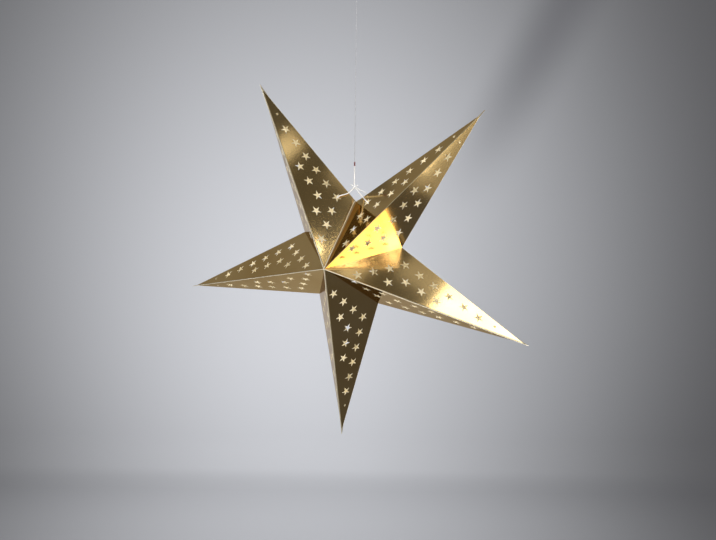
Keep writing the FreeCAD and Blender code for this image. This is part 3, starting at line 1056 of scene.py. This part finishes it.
@dataclass(frozen=True)
class HangingLine:
    """The clear line from the crimp to the knot and loop at its head, outside the view."""

    route: tuple[Point, ...] = (
        (0.0, 0.0, -0.2740),
        (0.0, 0.0, -0.1880),
        (0.0, 0.0, -0.1020),
        (0.0, 0.0, -0.0165),
    )
    loop_route: tuple[Point, ...] = (
        (-0.00042, 0.0, -0.01500),
        (-0.00450, 0.0, -0.00675),
        (-0.00360, 0.0, 0.00035),
        (0.00360, 0.0, 0.00035),
        (0.00450, 0.0, -0.00675),
        (0.00042, 0.0, -0.01500),
    )
    diameter: float = 0.0007
    length: float = 0.2575
    knot_height: tuple[float, float] = (-0.0165, -0.0135)
    knot_radius: float = 0.0012
    knot_turns: float = 3.4

    def _knot(self) -> bpy.types.Object:
        """Wind the line round itself below the loop.

        Returns:
            The knot.
        """
        low, high = self.knot_height
        half = self.diameter / 2
        steps = 110
        line = []
        for step in range(steps + 1):
            share = step / steps
            turn = 2 * math.pi * self.knot_turns * share
            ends = min(1.0, 8 * share, 8 * (1 - share))
            orbit = (self.knot_radius - half) * ends
            line.append(Vector((orbit * math.cos(turn), orbit * math.sin(turn),
                                low + half + (high - low - self.diameter) * share)))
        return join_as_mesh("wound_knot", [round_thread("knot_line", line, half)])

    def build(self, clear: bpy.types.Material) -> list[bpy.types.Object]:
        """Args:
            clear: the line's material.

        Returns:
            The line, the knot and the loop.
        """
        line = smooth_line("clear_hanging_line", list(self.route), self.diameter / 2)
        loop = smooth_line("hook_loop", list(self.loop_route), self.diameter / 2)
        knot = self._knot()
        bpy.ops.object.shade_smooth_by_angle(angle=ROUND_CREASE)
        for piece, node in ((line, "hanging_line"), (loop, "line_loop"), (knot, "loop_knot")):
            settle(piece, clear)
            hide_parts(node)
        return [line, knot, loop]


# Stage: paper sweep, lamps and camera


@dataclass
class PaperSweep:
    """Pale paper that comes forward as the floor and rises behind as the backdrop."""

    foot: Point = (0.46163, -1.17954, 0.0)
    heading: float = math.radians(21.03)
    half_width: float = 3.6
    front: float = 0.3
    back: float = 2.95
    floor_height: float = -1.70
    top: float = 2.4
    cove: float = 0.16
    edge_reach: float = 0.001
    # Where the painted light patch on the paper is centred
    glow_side: float = -0.19
    glow_height: float = -1.02
    finish: BackdropPaper = field(default_factory=BackdropPaper)

    def _out(self, side: float, depth: float, height: float) -> Point:
        """World point from its place as the camera's stand sees it.

        Args:
            side: metres to the right.
            depth: metres ahead.
            height: metres up.

        Returns:
            The point.
        """
        turn = Matrix.Rotation(self.heading, 3, "Z")
        return tuple(Vector(self.foot) + turn @ Vector((side, depth, height)))

    def build(self) -> bpy.types.Object:
        """Extrude the sweep from its floor, round its cove and turn it to the camera.

        Returns:
            The sweep.
        """
        deselect()
        middle = (self.front + self.back) / 2
        bpy.ops.mesh.primitive_plane_add(size=2, location=(0, middle, self.floor_height))
        sweep = bpy.context.object
        sweep.name = "paper_sweep"
        sweep.scale = (self.half_width, (self.back - self.front) / 2, 1)
        bpy.ops.object.transform_apply(location=True, rotation=True, scale=True)
        bpy.ops.object.mode_set(mode="EDIT")
        bpy.ops.mesh.select_mode(type="EDGE")
        bpy.ops.mesh.select_all(action="DESELECT")
        bpy.ops.object.mode_set(mode="OBJECT")
        corners = sweep.data.vertices
        for edge in sweep.data.edges:
            edge.select = all(
                corners[end].co.y > self.back - self.edge_reach for end in edge.vertices)
        bpy.ops.object.mode_set(mode="EDIT")
        bpy.ops.mesh.extrude_region_move(
            TRANSFORM_OT_translate={"value": (0, 0, self.top - self.floor_height)})
        bpy.ops.object.mode_set(mode="OBJECT")
        bend = sweep.modifiers.new("cove", "BEVEL")
        bend.width = self.cove
        bend.segments = 10
        bend.limit_method = "ANGLE"
        bpy.ops.object.modifier_apply(modifier=bend.name)
        bpy.ops.object.shade_smooth()
        sweep.rotation_euler.z = self.heading
        sweep.location = self.foot
        bpy.ops.object.transform_apply(location=True, rotation=True, scale=True)
        turn = Matrix.Rotation(self.heading, 3, "Z")
        across, along = turn @ Vector((1, 0, 0)), turn @ Vector((0, 1, 0))
        glow = self._out(self.glow_side, self.back, self.glow_height)
        sweep.data.materials.append(self.finish.build(glow, tuple(across), tuple(along)))
        return sweep


@dataclass(frozen=True)
class SoftBox:
    """A flat lamp that faces a target, or straight across to the star where it has none."""

    name: str
    centre: Point
    width: float
    height: float
    radiance: float
    target: Point | None = None

    def build(self) -> bpy.types.Object:
        """Hang the lamp.

        Returns:
            The lamp, unseen by the camera but seen in the foil.
        """
        deselect()
        bpy.ops.object.light_add(type="AREA", location=self.centre)
        lamp = bpy.context.object
        lamp.name = self.name
        lamp.data.shape = "RECTANGLE"
        lamp.data.size = self.width
        lamp.data.size_y = self.height
        lamp.data.energy = self.radiance * math.pi * self.width * self.height
        target = self.target or (0.0, *self.centre[1:])
        heading = Vector(target) - Vector(self.centre)
        lamp.rotation_mode = "QUATERNION"
        lamp.rotation_quaternion = heading.to_track_quat("-Z", "Y")
        lamp.visible_camera = False
        return lamp


@dataclass
class Studio:
    """World, lamps, sweep and camera."""

    camera_place: Point = (0.46163, -1.17954, -0.17163)
    camera_right: Point = (0.93233917, 0.3613691, 0.01249182)
    camera_up: Point = (-0.09034413, 0.19935973, 0.97575286)
    camera_back: Point = (0.35011657, -0.91086117, 0.21851846)
    focal_length: float = 38.617
    sensor: float = 36.0
    world_level: float = 0.10
    centre_glow: tuple[float, float] = (0.03, 0.05)
    # Distance from the star's centre, radius and power of the weak lamps in each arm
    arm_glows: tuple[tuple[float, float, float], ...] = (
        (0.10, 0.016, 0.030),
        (0.19, 0.009, 0.012),
        (0.245, 0.004, 0.0036),
    )
    lamps: tuple[SoftBox, ...] = (
        SoftBox("window_right", (0.70, -0.13, -0.205), 0.56, 1.19, 3.2),
        SoftBox("window_step", (0.70, 0.095, 0.423), 0.13, 0.066, 3.2),
        SoftBox("window_bright", (0.695, 0.065, 0.20), 0.17, 0.46, 1.2),
        SoftBox("window_low", (0.695, -0.12, -0.62), 0.22, 0.26, 3.0),
        SoftBox("window_hot", (0.690, -0.072, -0.568), 0.05, 0.05, 8.0),
        SoftBox("window_high", (0.695, -0.146, 0.515), 0.105, 0.080, 6.5),
        SoftBox("window_middle", (0.695, -0.014, 0.420), 0.085, 0.045, 7.0),
        SoftBox("window_top", (0.70, 0.03, 1.08), 0.15, 0.17, 0.85),
        SoftBox("window_floor", (0.70, 0.18, -0.70), 0.14, 0.32, 0.28),
        SoftBox("window_upper", (0.70, 0.142, 0.62), 0.125, 0.34, 0.34),
        SoftBox("fill_left", (-0.72, 0.22, -0.08), 0.5, 0.6, 0.16),
        SoftBox("fill_high", (-0.72, 0.66, 0.49), 0.42, 0.42, 0.15, (0.0, 0.0, -0.25)),
        SoftBox("front_near", (0.12, -1.30, 0.16), 0.5, 0.5, 16.0, (0.0, 0.0, -0.38)),
        SoftBox("front_soft", (-0.4, -2.6, 0.3), 1.8, 1.8, 2.6, (0.0, 0.0, -0.43)),
    )

    def build(self) -> None:
        """Set up everything that is not the object."""
        PaperSweep().build()
        for lamp in self.lamps:
            lamp.build()
        self._inner_glow()
        world = bpy.data.worlds.new("studio")
        world.use_nodes = True
        sky = world.node_tree.nodes["Background"]
        sky.inputs["Color"].default_value = (1.0, 1.0, 1.0, 1.0)
        sky.inputs["Strength"].default_value = self.world_level
        bpy.context.scene.world = world
        bpy.context.scene.view_settings.view_transform = "Standard"
        self._camera()

    def _inner_glow(self) -> None:
        """Weak soft lamps in the hollow, for the light that the pale board throws about."""
        spots = [(Vector(STAR_CENTRE), *self.centre_glow)]
        for degrees in ARM_ANGLES:
            turn = math.radians(degrees)
            along = Vector((math.cos(turn), 0.0, math.sin(turn)))
            for distance, radius, energy in self.arm_glows:
                spots.append((Vector(STAR_CENTRE) + along * distance, radius, energy))
        for place, radius, energy in spots:
            deselect()
            bpy.ops.object.light_add(type="POINT", location=place)
            glow = bpy.context.object
            glow.name = "inner_glow"
            glow.data.energy = energy
            glow.data.shadow_soft_size = radius
            glow.visible_camera = False
            glow.visible_glossy = False

    def _camera(self) -> None:
        """Put the camera where the photograph was taken."""
        deselect()
        bpy.ops.object.camera_add()
        camera = bpy.context.object
        camera.name = "photo_camera"
        axes = Matrix((self.camera_right, self.camera_up, self.camera_back)).transposed()
        camera.matrix_world = Matrix.Translation(self.camera_place) @ axes.to_4x4()
        camera.data.sensor_fit = "HORIZONTAL"
        camera.data.sensor_width = self.sensor
        camera.data.lens = self.focal_length
        camera.data.clip_start = 0.01
        camera.data.clip_end = 50.0
        bpy.context.scene.camera = camera


def main() -> None:
    """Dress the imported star, hang it in the studio and report each piece."""
    logging.basicConfig(level=logging.INFO, format="%(name)s: %(message)s")
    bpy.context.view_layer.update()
    nodes = frame["nodes"]
    Studio().build()
    for leaf in Leaves().dress(nodes):
        log.info("dressed %s", leaf.name)
    yarn = TwistedYarn().build()
    crimp = Crimp().build(PaintedCrimp().build())
    pieces = [
        *Lacing().build(yarn),
        TieKnot().build(yarn),
        crimp,
        Riser().build(yarn, crimp),
        *HangingLine().build(ClearLine().build()),
    ]
    for piece in pieces:
        log.info("made %s", piece.name)


if __name__ == "__main__":
    main()
